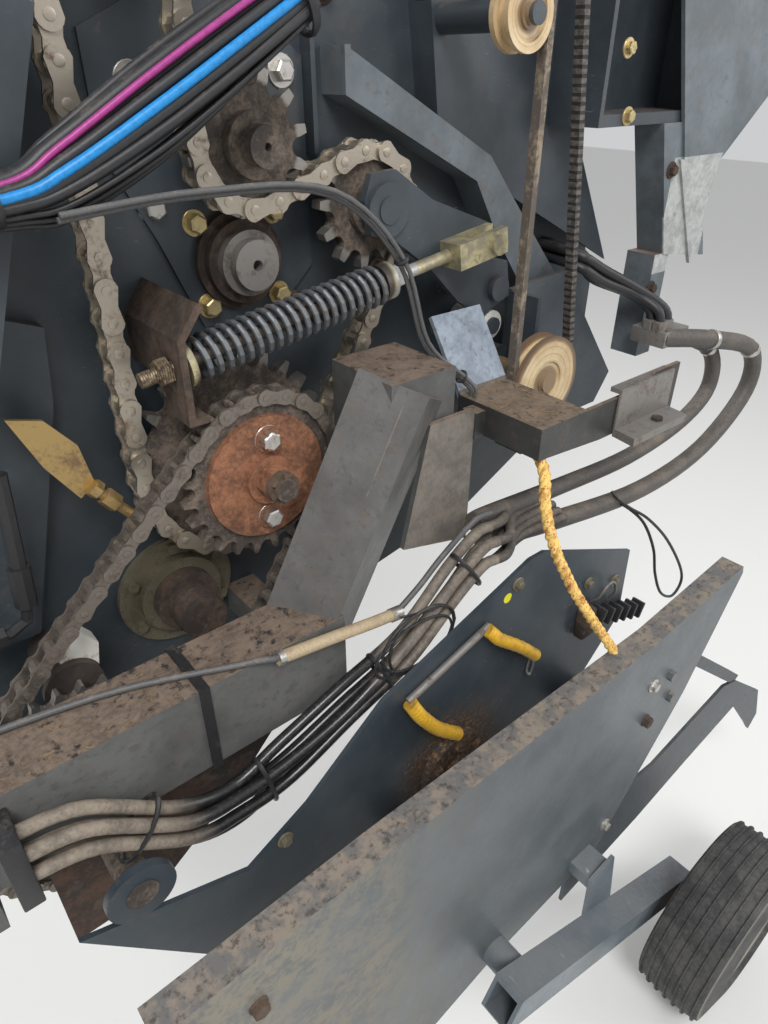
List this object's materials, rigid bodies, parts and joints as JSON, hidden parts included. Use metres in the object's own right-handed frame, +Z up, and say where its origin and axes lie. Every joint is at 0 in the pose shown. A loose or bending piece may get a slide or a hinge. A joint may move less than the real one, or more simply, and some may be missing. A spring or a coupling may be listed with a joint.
{
  "type": "round baler front drive corner",
  "caption": "Front lower corner of a round baler with the side cover open: rail, wall, roller chain drive, spring tensioner, belt drive, hoses and the liftable pickup end with its gauge wheel.",
  "frame": {"origin": "centre of the rear flange face of the chassis rail", "axes": "+X runs forward along the rail, +Y to the machine's left, +Z up"},
  "size_m": [1.5667, 0.741, 1.8271],
  "materials": {
    "grey_paint": "satin",
    "rusty_steel": "rough",
    "chain_steel": "satin",
    "yellow_zinc": "satin",
    "black_rubber": "matte",
    "tyre_rubber": "matte",
    "cream_plastic": "matte",
    "white_plastic": "matte",
    "yellow_grip": "matte",
    "yellow_rope": "matte",
    "blue_line": "satin",
    "bright_steel": "satin"
  },
  "bodies": {
    "frame": {"rail": "grey_paint", "side_wall": "grey_paint", "front_flange": "grey_paint", "corner_post": "grey_paint", "bearing_block": "bright_steel", "hub_flange": "yellow_zinc", "drive_sprocket": "rusty_steel", "roll_sprocket": "rusty_steel", "top_sprocket": "rusty_steel", "idler_sprocket": "rusty_steel", "pickup_sprocket": "rusty_steel", "main_chain": "chain_steel", "pickup_chain": "chain_steel", "slide_shoe": "white_plastic", "tension_arm": "grey_paint", "tension_rod": "yellow_zinc", "tension_spring": "grey_paint", "spring_bracket": "rusty_steel", "drive_belt": "black_rubber", "pulley_plate": "grey_paint", "front_panel": "grey_paint", "corner_panel": "grey_paint", "hose_bracket": "grey_paint", "cable_anchor": "yellow_zinc", "hose_elbow": "black_rubber", "cable_bundle": "black_rubber", "pull_cables": "black_rubber", "rail_hoses": "black_rubber", "brake_cable": "black_rubber", "front_hoses": "black_rubber", "rope": "yellow_rope", "skirt_plates": "rusty_steel"},
    "pickup": {"pickup_end": "grey_paint", "pickup_plate": "grey_paint", "grip_bars": "yellow_grip", "guard_hook": "grey_paint", "gauge_arm": "grey_paint"},
    "gauge_wheel": {"gauge_wheel": "tyre_rubber"},
    "roller_shaft": {"roller_shaft": "rusty_steel"},
    "rotor_tube": {"rotor_tube": "rusty_steel"},
    "belt_pulley": {"belt_pulley": "cream_plastic"},
    "belt_top_pulley": {"belt_top_pulley": "grey_paint"},
    "belt_roller": {"belt_roller": "cream_plastic"},
    "guide_roller": {"guide_roller": "white_plastic"}
  },
  "joints": [
    {"name": "pickup_lift", "type": "hinge", "parent": "frame", "child": "pickup", "pos_m": [0.129, -0.1, -0.108], "axis": [0, -1, 0], "range_deg": [0, 15], "deforming": ["rope"]},
    {"name": "gauge_wheel_spin", "type": "hinge", "parent": "pickup", "child": "gauge_wheel", "pos_m": [1.045, -0.423, -0.783], "axis": [0, 1, 0], "continuous": true},
    {"name": "roller_spin", "type": "hinge", "parent": "frame", "child": "roller_shaft", "pos_m": [0.471, 0.188, 0.441], "axis": [0, 1, 0], "continuous": true},
    {"name": "rotor_spin", "type": "hinge", "parent": "frame", "child": "rotor_tube", "pos_m": [0.327, 0.188, 0.029], "axis": [0, 1, 0], "continuous": true},
    {"name": "belt_drive", "type": "hinge", "parent": "frame", "child": "belt_pulley", "pos_m": [0.862, 0.03, 0.24], "axis": [0, 1, 0], "continuous": true},
    {"name": "belt_top_spin", "type": "hinge", "parent": "frame", "child": "belt_top_pulley", "pos_m": [0.822, 0.03, 0.77], "axis": [0, 1, 0], "continuous": true},
    {"name": "belt_roller_spin", "type": "hinge", "parent": "frame", "child": "belt_roller", "pos_m": [0.755, 0.03, 0.677], "axis": [0, 1, 0], "continuous": true},
    {"name": "guide_spin", "type": "hinge", "parent": "frame", "child": "guide_roller", "pos_m": [0.83, 0.13, 0.31], "axis": [0, 1, 0], "continuous": true}
  ],
  "couplings": [
    {"joint": "belt_top_spin", "follows": "belt_drive", "ratio": 2.7},
    {"joint": "belt_roller_spin", "follows": "belt_drive", "ratio": -2}
  ]
}
